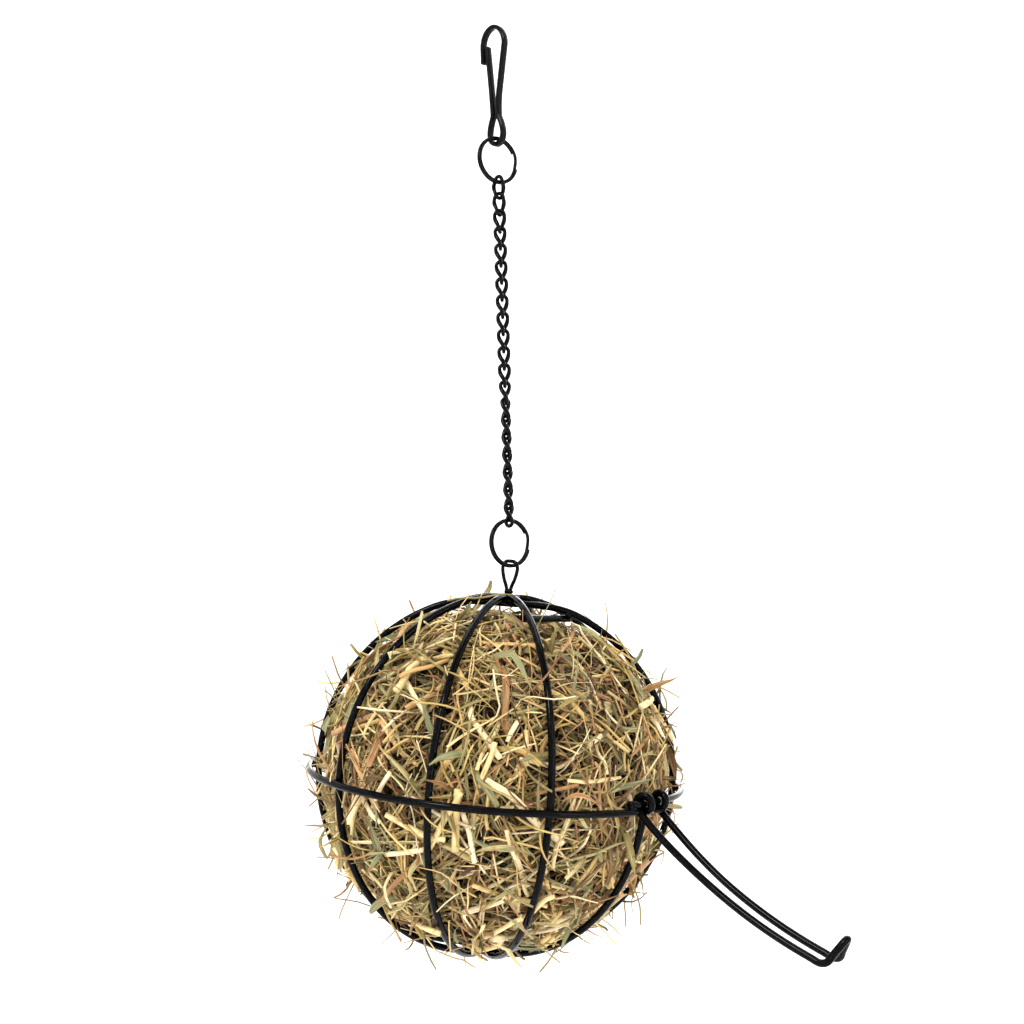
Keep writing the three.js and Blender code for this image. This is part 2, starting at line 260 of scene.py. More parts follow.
def line_frames(points, closed, fixed=None):
    """Tangents with normals that turn as little as possible, or that keep one binormal."""
    if closed:
        tangent = unit(np.roll(points, -1, 0) - np.roll(points, 1, 0))
    else:
        tangent = unit(np.gradient(points, axis=0))
    if fixed is not None:
        binormal = np.tile(np.array(fixed, float), (len(points), 1))
        return unit(np.cross(binormal, tangent)), binormal
    first = np.cross(tangent[0], [0.3, 0.5, 0.8])
    normal = [unit(first - tangent[0] * (first @ tangent[0]))]
    for t in tangent[1:]:
        normal.append(unit(normal[-1] - t * (normal[-1] @ t)))
    normal = np.array(normal)
    if closed:
        end = unit(normal[-1] - tangent[0] * (normal[-1] @ tangent[0]))
        left = math.atan2(np.cross(end, normal[0]) @ tangent[0], end @ normal[0])
        turn = (left * np.arange(len(points)) / len(points))[:, None]
        normal = normal * np.cos(turn) + np.cross(tangent, normal) * np.sin(turn)
    return normal, np.cross(tangent, normal)


def sweep(points, section, closed=False, scale=None, fixed=None):
    """A section carried along a line, with softly rounded cut ends."""
    points = np.asarray(points, float)
    scale = np.ones(len(points)) if scale is None else np.asarray(scale, float)
    normal, binormal = line_frames(points, closed, fixed)
    if not closed:
        size = np.abs(section).max() * END_ROUNDING
        t0 = unit(points[0] - points[1])
        t1 = unit(points[-1] - points[-2])
        head = np.array([points[0] - t0 * size * back for back, _ in END_STEPS])
        tail = np.array([points[-1] - t1 * size * back for back, _ in END_STEPS[::-1]])
        points = np.vstack([head, points, tail])
        ends = np.array([s for _, s in END_STEPS])
        scale = np.concatenate([ends * scale[0], scale, ends[::-1] * scale[-1]])
        normal = np.vstack([normal[:1]] * 3 + [normal] + [normal[-1:]] * 3)
        binormal = np.vstack([binormal[:1]] * 3 + [binormal] + [binormal[-1:]] * 3)
    n, k = len(points), len(section)
    local = section[None] * scale[:, None, None]
    verts = points[:, None] + normal[:, None] * local[:, :, :1] + binormal[:, None] * local[:, :, 1:]
    faces = []
    for i in range(n if closed else n - 1):
        a, b = i * k, ((i + 1) % n) * k
        for j in range(k):
            q = (j + 1) % k
            faces.append([a + j, a + q, b + q, b + j])
    if not closed:
        faces.append(list(range(k))[::-1])
        faces.append([(n - 1) * k + j for j in range(k)])
    return verts.reshape(-1, 3), faces


def bead(rng, centre, axes, radii, rough=0.12, rings=9, sides=14):
    """A lump of weld metal: an uneven ball with soft ripples."""
    verts = [[0, 0, 1.0]]
    for i in range(1, rings):
        polar = np.pi * i / rings
        for j in range(sides):
            a = 2 * np.pi * j / sides
            verts.append([math.sin(polar) * math.cos(a), math.sin(polar) * math.sin(a), math.cos(polar)])
    verts.append([0, 0, -1.0])
    verts = np.array(verts)
    waves = rng.normal(size=(5, 3)) * 2.4
    phase = rng.uniform(0, 2 * np.pi, 5)
    ripple = np.sin(verts @ waves.T + phase).mean(axis=1)
    verts = verts * (1 + rough * ripple[:, None] * 2)
    faces = []
    for j in range(sides):
        q = (j + 1) % sides
        faces.append([0, 1 + j, 1 + q])
        for i in range(rings - 2):
            a, b = 1 + i * sides, 1 + (i + 1) * sides
            faces.append([a + j, b + j, b + q, a + q])
        last = 1 + (rings - 2) * sides
        faces.append([last + j, len(verts) - 1, last + q])
    return np.asarray(centre) + (verts * np.asarray(radii)) @ np.asarray(axes, float), faces


# ---------------------------------------------------------------- materials


def srgb(code):
    parts = [int(code[i:i + 2], 16) / 255 for i in (0, 2, 4)]
    return [c / 12.92 if c <= 0.04045 else ((c + 0.055) / 1.055) ** 2.4 for c in parts] + [1.0]


class Nodes:
    """Short names for building one material's node tree."""

    def __init__(self, name):
        self.material = bpy.data.materials.new(name)
        self.material.use_nodes = True
        self.tree = self.material.node_tree
        self.shader = self.tree.nodes["Principled BSDF"]

    def add(self, kind, **values):
        node = self.tree.nodes.new(kind)
        for key, value in values.items():
            if hasattr(node, key):
                setattr(node, key, value)
            else:
                node.inputs[key.replace("_", " ")].default_value = value
        return node

    def link(self, source, target):
        self.tree.links.new(source, target)

    def noise(self, vector, scale, detail=3.0, roughness=0.5, distortion=0.0):
        node = self.add("ShaderNodeTexNoise", Scale=scale, Detail=detail, Roughness=roughness)
        node.inputs["Distortion"].default_value = distortion
        self.link(vector, node.inputs["Vector"])
        return node.outputs["Fac"]

    def span(self, value, low, high, to_low, to_high):
        node = self.add("ShaderNodeMapRange")
        for socket, number in zip(node.inputs[1:5], (low, high, to_low, to_high)):
            socket.default_value = number
        self.link(value, node.inputs["Value"])
        return node.outputs["Result"]

    def ramp(self, value, stops):
        node = self.add("ShaderNodeValToRGB")
        elements = node.color_ramp.elements
        while len(elements) < len(stops):
            elements.new(0.5)
        for element, (place, colour) in zip(elements, stops):
            element.position = place
            element.color = colour
        self.link(value, node.inputs["Fac"])
        return node.outputs["Color"]

    def mix(self, fac, a, b, blend="MIX"):
        node = self.add("ShaderNodeMix", data_type="RGBA", blend_type=blend)
        sockets = {s.identifier: s for s in node.inputs}
        for key, value in (("Factor_Float", fac), ("A_Color", a), ("B_Color", b)):
            if isinstance(value, bpy.types.NodeSocket):
                self.link(value, sockets[key])
            else:
                sockets[key].default_value = value
        return next(s for s in node.outputs if s.identifier == "Result_Color")

    def bump(self, height, strength, distance):
        node = self.add("ShaderNodeBump", Strength=strength, Distance=distance)
        self.link(height, node.inputs["Height"])
        self.link(node.outputs["Normal"], self.shader.inputs["Normal"])

    def colour(self, socket):
        self.link(socket, self.shader.inputs["Base Color"])

    def roughness(self, socket):
        self.link(socket, self.shader.inputs["Roughness"])


def lacquer(name, dull=0.0, gloss=0.055):
    """Dipped black lacquer: soft runs, fine orange peel and a few dull specks."""
    n = Nodes(name)
    place = n.add("ShaderNodeTexCoord").outputs["Object"]
    runs = n.noise(place, 210.0, 2.0, 0.5, 0.6)
    peel = n.noise(place, 1500.0, 2.0)
    dust = n.noise(place, 3400.0, 4.0, 0.7)
    black = n.ramp(runs, [(0.3, srgb("020203")), (0.7, srgb("060607"))])
    specks = n.span(dust, 0.66, 0.74, 0.0, 0.75)
    n.colour(n.mix(specks, black, srgb("2b2724")))
    base = n.span(runs, 0.25, 0.75, 0.10 + dull, 0.19 + dull)
    add = n.add("ShaderNodeMath", operation="MULTIPLY_ADD")
    n.link(specks, add.inputs[0])
    add.inputs[1].default_value = 0.35
    n.link(base, add.inputs[2])
    n.roughness(add.outputs[0])
    both = n.add("ShaderNodeMath", operation="MULTIPLY_ADD")
    n.link(peel, both.inputs[0])
    both.inputs[1].default_value = 0.25
    n.link(runs, both.inputs[2])
    n.bump(both.outputs[0], 0.12, 0.0002)
    n.shader.inputs["Specular IOR Level"].default_value = gloss
    return n.material


def hay_material(name, stops, vein_strength=0.5, painted_shade=0.0):
    """Dry grass: a tone for each strand, long veins, blotches and browned patches, and painted shade that
    darkens the copies for deep strands.
    """
    n = Nodes(name)
    tone = n.add("ShaderNodeAttribute", attribute_name="tone").outputs["Fac"]
    grain = n.add("ShaderNodeAttribute", attribute_name="grain").outputs["Vector"]
    place = n.add("ShaderNodeTexCoord").outputs["Object"]
    own = n.ramp(tone, stops)
    veins = n.noise(grain, 1.0, 2.0, 0.6)
    blotch = n.noise(place, 260.0, 3.0, 0.6)
    fine = n.noise(place, 1900.0, 3.0, 0.65)
    streaked = n.mix(n.span(veins, 0.35, 0.7, 0.0, vein_strength), own, srgb("6b5a33"), "MULTIPLY")
    pale = n.mix(n.span(veins, 0.45, 0.2, 0.0, 0.35), streaked, srgb("f4ecc4"))
    browned = n.mix(n.span(blotch, 0.56, 0.74, 0.0, 0.6), pale, srgb("8a5f38"))
    flecked = n.mix(n.span(fine, 0.6, 0.78, 0.0, 0.45), browned, srgb("5a4428"))
    warm = n.mix(1.0, flecked, srgb("f6e6cb"), "MULTIPLY")
    # painted shade: the whole colour is mixed toward near-black brown for strands lying deep in the ball
    if painted_shade:
        warm = n.mix(painted_shade, warm, srgb("24150a"))
    n.colour(warm)
    n.roughness(n.span(veins, 0.2, 0.8, 0.5, 0.85))
    n.bump(veins, 0.5, 0.00025)
    n.shader.inputs["Specular IOR Level"].default_value = 0.35
    return n.material


STEM_TONES = [
    (0.00, srgb("fdf8e4")), (0.18, srgb("efe4b6")), (0.34, srgb("cfba7c")), (0.47, srgb("a6985f")),
    (0.57, srgb("8f8f69")), (0.68, srgb("ab9165")), (0.79, srgb("b38a66")), (0.90, srgb("81593b")),
    (1.00, srgb("4a3520")),
]
BLADE_TONES = [
    (0.00, srgb("e8e4c0")), (0.18, srgb("b0ac7e")), (0.36, srgb("8f9776")), (0.52, srgb("788369")),
    (0.66, srgb("9b9662")), (0.79, srgb("b08a64")), (0.90, srgb("7f6444")), (1.00, srgb("4f4c33")),
]
STRAW_TONES = [
    (0.00, srgb("fffbee")), (0.35, srgb("f3eac4")), (0.60, srgb("dcc68b")), (0.80, srgb("cda780")),
    (1.00, srgb("b89a86")),
]

MAT_WIRE = lacquer("black_lacquer")
MAT_CHAIN = lacquer("black_lacquer_chain", dull=0.03, gloss=0.07)
MAT_STRIP = lacquer("black_lacquer_strip", dull=0.0, gloss=0.08)
MAT_WELD = lacquer("black_lacquer_weld", dull=0.1)
MAT_STEM = hay_material("hay_stem", STEM_TONES)
MAT_BLADE = hay_material("hay_blade", BLADE_TONES, 0.6)
MAT_STRAW = hay_material("hay_straw", STRAW_TONES, 0.35)
# Painted shade: darkened copies of the stem material for the strands deep inside the ball.
MAT_DEEP_PAINTED_SHADE = hay_material("hay_deep_painted_shade", STEM_TONES, 0.6, painted_shade=0.35)
MAT_INNER_PAINTED_SHADE = hay_material("hay_inner_painted_shade", STEM_TONES, 0.6, painted_shade=0.78)


# ---------------------------------------------------------------- snap hook


def bezier(a, b, c, steps=14):
    t = np.linspace(0, 1, steps, endpoint=False)[:, None]
    a, b, c = (np.array(p, float) for p in (a, b, c))
    return (1 - t) ** 2 * a + 2 * t * (1 - t) * b + t * t * c


def arc(cx, cz, rx, rz, start, end, steps=26):
    a = np.radians(np.linspace(start, end, steps, endpoint=False))[:, None]
    return np.array([cx, cz]) + np.hstack([rx * np.cos(a), rz * np.sin(a)])


def upright(line):
    """X-Z pairs as points of the hook's plane."""
    return np.stack([line[:, 0], np.zeros(len(line)), line[:, 1]], axis=1)


def snap_hook():
    eye_floor = STRIP_THICKNESS * 1.5 - HOOK_HEIGHT
    eye_middle = eye_floor + HOOK_EYE_DEPTH
    shoulder = ARCH_HEIGHT - STRIP_THICKNESS / 2
    lean = (ARCH_HALF_WIDTH - THROAT_HALF_SPACING) / (SPINE_BEND_DEPTH - shoulder)
    leaned = (THROAT_HALF_SPACING + lean * SPINE_BEND_LENGTH, SPINE_BEND_LENGTH - SPINE_BEND_DEPTH)
    foot = (THROAT_HALF_SPACING, -SPINE_BEND_DEPTH - SPINE_BEND_LENGTH)
    throat = (THROAT_HALF_SPACING, -THROAT_DEPTH)
    gate_foot = (-THROAT_HALF_SPACING, CLEARANCE - THROAT_DEPTH)
    low_eye = -THROAT_DEPTH - HOOK_EYE_DEPTH
    half_eye = HOOK_EYE_HALF_WIDTH
    body = np.vstack([
        bezier((-THROAT_HALF_SPACING, -THROAT_DEPTH), (-half_eye, low_eye), (-half_eye, eye_middle)),
        arc(0, eye_middle, half_eye, HOOK_EYE_DEPTH, 180, 360),
        bezier((half_eye, eye_middle), (half_eye, low_eye), throat),
        [throat],
        bezier(foot, (THROAT_HALF_SPACING, -SPINE_BEND_DEPTH), leaned),
        [leaned],
        arc(0, -shoulder, ARCH_HALF_WIDTH, ARCH_HEIGHT, 0, 180),
        [(-ARCH_HALF_WIDTH, -shoulder), (-ARCH_HALF_WIDTH, STRIP_THICKNESS - NOSE_DROP)],
    ])
    tip = (CLEARANCE + STRIP_THICKNESS - ARCH_HALF_WIDTH, -GATE_TIP_DEPTH)
    bend = (-THROAT_HALF_SPACING, -SPINE_BEND_DEPTH)
    gate = np.vstack([bezier(gate_foot, bend, tip, 24), [tip]])
    section = strip_section(STRIP_THICKNESS, STRIP_WIDTH, 0.5)
    body_line = even(upright(body), 0.45)
    strip = sweep(body_line, section, fixed=(0, 1, 0))
    piece = new_piece("hook_strip", *strip, MAT_STRIP, "snap_hook", SLOT_WIRE)
    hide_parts("snap_hook_body")
    gate_strip = sweep(even(upright(gate), 0.6), section, fixed=(0, 1, 0))
    piece = new_piece("hook_gate_strip", *gate_strip, MAT_STRIP, "hook_gate", SLOT_WIRE)
    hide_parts("snap_hook_gate")


# ---------------------------------------------------------------- rings and chain


def split_ring(name, body):
    radius = (RING_DIAMETER - RING_RADIAL + RING_OUTWARD) / 2
    wound = np.linspace(0, RING_WOUND, 190)
    layer = smooth((wound - RING_STEP_START) / RING_STEP_LENGTH) - 0.5
    angle = np.radians(RING_START + wound)
    points = np.stack([radius * np.cos(angle), -layer * RING_PITCH, radius * np.sin(angle)], axis=1)
    points = turned_z(points, RING_TURN) + [0, 0, node_middle(name)[2]]
    section = strip_section(RING_RADIAL + RING_OUTWARD, RING_LAYER, 0.3)
    axis = turned_z(np.array([[0.0, 1.0, 0.0]]), RING_TURN)[0]
    piece = new_piece(name + "_coil", *sweep(points, section, fixed=axis), MAT_CHAIN, body, SLOT_WIRE)
    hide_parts(name)


def link_line(steps):
    """A long oval, twisted a quarter turn between its two bends."""
    bend = LINK_LINE_WIDTH / 2
    straight = LINK_INNER_LENGTH + LINK_WIRE - 2 * bend
    quarter = math.pi * bend / 2
    half = 2 * quarter + straight
    points = []
    for i in range(steps):
        run = 2 * half * i / steps
        sign = 1 if run < half else -1
        run %= half
        if run < 2 * quarter:
            side = bend * math.cos(run / bend)
            height = straight / 2 + bend * math.sin(run / bend)
        else:
            side, height = -bend, straight / 2 - (run - 2 * quarter)
        twist = math.radians(LINK_TWIST) * smooth(0.5 - sign * height / (straight + bend))
        points.append([sign * side * math.cos(twist), sign * side * math.sin(twist), sign * height])
    return np.array(points)


def link_turn(number):
    if number <= len(LINK_TURN_FIRST):
        return LINK_TURN_FIRST[number - 1]
    if number <= LAST_UPPER_LINK:
        return LINK_TURN_UPPER
    if number == LAST_UPPER_LINK + 1:
        return (LINK_TURN_UPPER + LINK_TURN_LOWER) / 2
    return LINK_TURN_LOWER


def chain():
    line = link_line(LINK_STEPS)
    run = np.arange(LINK_STEPS) / LINK_STEPS
    from_seam = np.abs(run - LINK_SEAM) * LINK_STEPS
    bend_share = math.pi * LINK_LINE_WIDTH / 2
    bend_share /= bend_share + LINK_INNER_LENGTH + LINK_WIRE - LINK_LINE_WIDTH
    past_bend = (run * 2 % 1 - bend_share) / (1 - bend_share)
    scale = 1 + LINK_SWELL * np.sin(np.pi * np.clip(past_bend, 0, 1)) ** 1.5
    scale -= LINK_SEAM_DEPTH * np.exp(-(from_seam ** 2) * 3)
    for number in range(1, LINK_COUNT + 1):
        node = f"chain_link_{number:02d}"
        points = turned_z(line, link_turn(number)) + [0, 0, node_middle(node)[2]]
        link = sweep(points, round_section(LINK_WIRE, LINK_SIDES), closed=True, scale=scale)
        piece = new_piece(f"link_wire_{number:02d}", *link, MAT_CHAIN, f"link_{number:02d}", SLOT_WIRE)
        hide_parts(node)


# ---------------------------------------------------------------- the ball's wires


def meridian(longitude, start, end, dip=0.0, dip_reach=DIP_REACH, steps=None):
    """A line of the ball over polar angles, dipping inward near the poles."""
    polar = np.radians(np.linspace(start, end, steps or max(12, int(abs(end - start) / 2.2))))
    from_pole = np.degrees(np.abs(np.arcsin(np.sin(polar))))
    radius = RIB_RADIUS - dip * (1 - smooth(from_pole / dip_reach))
    line = np.stack([radius * np.sin(polar), np.zeros_like(polar), radius * np.cos(polar)], axis=1)
    return turned_z(line, longitude)


def lacquer_runs(rng, count, amount=0.007):
    """Slow swellings of the wire where the lacquer gathered."""
    phase = rng.uniform(0, 2 * np.pi, 3)
    run = np.linspace(0, 2 * np.pi, count, endpoint=False)
    waves = [np.sin(run * k + p) for k, p in zip((5, 11, 17), phase)]
    return 1 + amount * np.mean(waves, axis=0)


def cage():
    rng = np.random.default_rng(11)
    wire = round_section(CAGE_WIRE)
    hoops = (("cage_hoop_outer", -RIB_SPACING, 0.0), ("cage_hoop_inner", RIB_SPACING, RIB_DIP - HOOP_NEST))
    for node, longitude, dip in hoops:
        line = in_ball(meridian(longitude, 0, 360, dip, steps=181)[:-1])
        hoop = sweep(line, wire, closed=True, scale=lacquer_runs(rng, len(line)))
        piece = new_piece(node + "_wire", *hoop, MAT_WIRE, "ball", SLOT_WIRE)
        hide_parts(node)
    hub = math.degrees(math.asin(HUB_RADIUS / RIB_RADIUS))
    for i, place in enumerate(SHORT_RIBS):
        line = in_ball(meridian(place * RIB_SPACING, hub, 180 - hub, HUB_DIP, HUB_DIP_REACH))
        rib = sweep(line, wire, scale=lacquer_runs(rng, len(line)))
        node = f"cage_rib_{i + 1}"
        piece = new_piece(node + "_wire", *rib, MAT_WIRE, "ball", SLOT_WIRE)
        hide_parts(node)
    line = in_ball(meridian(0, RIB_BELOW_DOOR_START, 180 - hub, HUB_DIP, HUB_DIP_REACH))
    rib = sweep(line, wire, scale=lacquer_runs(rng, len(line)))
    piece = new_piece("cage_rib_below_door_wire", *rib, MAT_WIRE, "ball", SLOT_WIRE)
    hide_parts("cage_rib_below_door")


def equator_drop(degrees):
    """The ring drops slowly round its turn, so that its ends lie one above the other."""
    return (CAGE_WIRE + TOUCH) * (degrees - EQUATOR_START) / 360


def equator():
    rng = np.random.default_rng(12)
    turned = np.linspace(EQUATOR_START, EQUATOR_END, 190)
    angle = np.radians(turned)
    line = np.stack([
        EQUATOR_RADIUS * np.cos(angle), EQUATOR_RADIUS * np.sin(angle), -equator_drop(turned),
    ], axis=1)
    ring = sweep(in_ball(line), round_section(CAGE_WIRE), scale=lacquer_runs(rng, len(line)))
    piece = new_piece("equator_wire", *ring, MAT_WIRE, "ball", SLOT_WIRE)
    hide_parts("equator_ring")


def catch_bar():
    angle = math.radians(CATCH_POLAR)
    crossing = RIB_RADIUS - CAGE_WIRE - CLEARANCE * 1.2
    radius = crossing / math.hypot(1, math.sin(angle) * math.tan(math.radians(RIB_SPACING)))
    y = np.linspace(-CATCH_LENGTH / 2, CATCH_LENGTH / 2, 24)
    line = np.stack([
        np.full_like(y, radius * math.sin(angle)), y, np.full_like(y, radius * math.cos(angle)),
    ], axis=1)
    bar = sweep(in_ball(line), round_section(CAGE_WIRE))
    piece = new_piece("catch_bar_wire", *bar, MAT_WIRE, "ball", SLOT_WIRE)
    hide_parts("door_catch_bar")
    return line


def eye():
    shoulder = (EYE_WIDTH - EYE_WIRE) / 2
    floor = RIB_RADIUS + CAGE_WIRE / 2 - EYE_SINK
    top = RIB_RADIUS + CAGE_WIRE / 2 + CLEARANCE + EYE_HEIGHT - EYE_WIRE / 2
    half = [
        (-EYE_FOOT, floor), (-shoulder * 0.36, floor + EYE_HEIGHT * 0.22),
        (-shoulder * 0.74, floor + EYE_HEIGHT * 0.45), (-shoulder, top - 1.9),
        (-shoulder * 0.62, top - 0.25),
    ]
    controls = [(x, 0, z) for x, z in half] + [(0, 0, top)] + [(-x, 0, z) for x, z in half[::-1]]
    line = even(catmull_rom(controls, 10), 0.4)
    loop = sweep(in_ball(line), round_section(EYE_WIRE, EYE_SIDES))
    piece = new_piece("hanging_eye_wire", *loop, MAT_WIRE, "ball", SLOT_WIRE)
    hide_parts("hanging_eye")


def pole_axes(longitude, polar):
    """Along the meridian, across it and outward, as rows in the row frame."""
    lon, pol = math.radians(longitude), math.radians(polar)
    out = np.array([math.sin(pol) * math.cos(lon), math.sin(pol) * math.sin(lon), math.cos(pol)])
    along = np.array([math.cos(pol) * math.cos(lon), math.cos(pol) * math.sin(lon), -math.sin(pol)])
    across = np.cross(out, along)
    return np.array([along, across, out]) @ BALL_AXES, out


def welds(bar_line):
    rng = np.random.default_rng(13)
    parts = []
    ring_gap = (RIB_RADIUS + EQUATOR_RADIUS) / 2
    for k in range(MERIDIANS):
        longitude = k * RIB_SPACING
        axes, out = pole_axes(longitude, 90)
        drop = equator_drop(longitude)
        centre = in_ball(out * ring_gap - np.array([0, 0, drop]))
        parts.append(bead(rng, centre, axes, (1.25, 1.3, 1.35), 0.1))
    for polar, rib_end in ((0, RIB_END_POLAR), (180, 180 - RIB_END_POLAR)):
        axes, out = pole_axes(0, polar)
        parts.append(bead(rng, in_ball(out * (RIB_RADIUS - 1.3)), axes, (3.7, 3.5, 1.7), 0.12, 12, 22))
        for k in range(MERIDIANS):
            if k in NO_RIB_AT_TOP and polar == 0:
                continue
            side, out_k = pole_axes(k * RIB_SPACING, rib_end)
            parts.append(bead(rng, in_ball(out_k * (RIB_RADIUS - 0.9)), side, (1.7, 1.15, 1.2), 0.12))
    for end in (bar_line[1], bar_line[-2]):
        longitude = math.degrees(math.atan2(end[1], end[0]))
        polar = math.degrees(math.acos(end[2] / np.linalg.norm(end)))
        longitude = math.copysign(RIB_SPACING, longitude)
        axes, out = pole_axes(longitude, polar)
        spot = out * (np.linalg.norm(end) + RIB_RADIUS) / 2
        parts.append(bead(rng, in_ball(spot), axes, (1.5, 1.5, 1.3), 0.14))
    axes, out = pole_axes(0, 0)
    parts.append(bead(rng, in_ball(out * (RIB_RADIUS + CAGE_WIRE / 2 + 0.35)), axes, (1.5, 1.0, 0.9), 0.12))
    angle = math.radians((EQUATOR_START + EQUATOR_END - 360) / 2)
    across = np.array([-math.sin(angle), math.cos(angle), 0])
    out = np.array([math.cos(angle), math.sin(angle), 0])
    axes = np.array([across, out, [0, 0, 1.0]]) @ BALL_AXES
    centre = in_ball(out * EQUATOR_RADIUS - np.array([0, 0, CAGE_WIRE / 2]))
    parts.append(bead(rng, centre, axes, (1.7, 0.95, 1.1), 0.1))
    new_piece("weld_beads", *joined(parts), MAT_WELD, "ball", SLOT_WIRE)


# ---------------------------------------------------------------- the door


def door():
    coil_radius = CAGE_WIRE / 2 + CLEARANCE * 0.7 + DOOR_WIRE / 2
    coil_end = DOOR_COIL_START + DOOR_COIL_TURNS * (DOOR_WIRE + TOUCH)
    half = []
    coil_steps = 30
    for i in range(coil_steps + 1):
        run = i / coil_steps
        angle = 2 * math.pi * DOOR_COIL_TURNS * (run - 1) - math.pi / 2
        y = DOOR_COIL_START + (coil_end - DOOR_COIL_START) * run
        half.append((coil_radius * math.cos(angle), y, coil_radius * math.sin(angle)))
    side_steps = 16
    for i in range(1, side_steps):
        run = i / side_steps
        y = coil_end + (DOOR_HALF_WIDTH - coil_end) * smooth(run * 2)
        z = -coil_radius * (1 - run) - 4 * DOOR_BULGE * run * (1 - run)
        half.append((DOOR_REACH * run, y, z))
    half.append((DOOR_REACH - 1.4, DOOR_HALF_WIDTH, -0.4))
    half.append((DOOR_REACH, DOOR_HALF_WIDTH * 0.94, 1.0))
    half.append((DOOR_REACH, DOOR_HALF_WIDTH * 0.62, DOOR_HOOK_DEPTH * 0.45))
    tip = (DOOR_REACH, 0, DOOR_HOOK_DEPTH)
    other = [(x, -y, z) for x, y, z in half[::-1]]
    line = even(catmull_rom(half + [tip] + other, 6), 0.8)
    droop = math.radians(DOOR_DROOP)
    c, s = math.cos(droop), math.sin(droop)
    line = line @ np.array([[c, 0, -s], [0, 1, 0], [s, 0, c]]) + [EQUATOR_RADIUS, 0, 0]
    rng = np.random.default_rng(14)
    wire = sweep(in_ball(line), round_section(DOOR_WIRE), scale=lacquer_runs(rng, len(line), 0.005))
    piece = new_piece("door_wire_smooth", *wire, MAT_WIRE, "door", SLOT_WIRE)
    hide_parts("door_wire")


# ---------------------------------------------------------------- camera, light and stage

CAMERA_ANGLE = -53.05  # degrees from +X to the camera, seen from above
CAMERA_DISTANCE = 0.5093
CAMERA_SHIFT = 0.0010  # to the right
CAMERA_BELOW_PIVOT = 0.0295
CAMERA_PITCH = 5.23
CAMERA_ROLL = -1.83
CAMERA_LENS = 56.15


def photo_camera():
    a, p, r = (math.radians(x) for x in (CAMERA_ANGLE, CAMERA_PITCH, CAMERA_ROLL))
    away = np.array([math.cos(a), math.sin(a), 0.0])
    right = np.array([-math.sin(a), math.cos(a), 0.0])
    up_z = np.array([0.0, 0.0, 1.0])
    ahead = -away * math.cos(p) + up_z * math.sin(p)
    up = np.cross(right, ahead)
    right_r = right * math.cos(r) + up * math.sin(r)
    up_r = up * math.cos(r) - right * math.sin(r)
    place = PIVOT * MM + away * CAMERA_DISTANCE + right * CAMERA_SHIFT - up_z * CAMERA_BELOW_PIVOT
    data = bpy.data.cameras.new("photo_camera")
    data.lens = CAMERA_LENS
    data.sensor_width = 36
    data.clip_start = 0.01
    obj = bpy.data.objects.new("photo_camera", data)
    bpy.context.scene.collection.objects.link(obj)
    matrix = np.eye(4)
    matrix[:3, 0], matrix[:3, 1], matrix[:3, 2], matrix[:3, 3] = right_r, up_r, -ahead, place
    obj.matrix_world = Matrix(matrix.tolist())
    bpy.context.scene.camera = obj
    return away, right


def soft_light(name, place, target, size, power):
    data = bpy.data.lights.new(name, "AREA")
    data.shape = "RECTANGLE"
    data.size, data.size_y = size
    data.energy = power
    obj = bpy.data.objects.new(name, data)
    bpy.context.scene.collection.objects.link(obj)
    back = unit(np.array(place, float) - np.array(target, float))
    side = unit(np.cross([0, 0, 1.0], back))
    matrix = np.eye(4)
    matrix[:3, 0], matrix[:3, 1], matrix[:3, 2], matrix[:3, 3] = side, np.cross(back, side), back, place
    obj.matrix_world = Matrix(matrix.tolist())
    obj.visible_camera = False


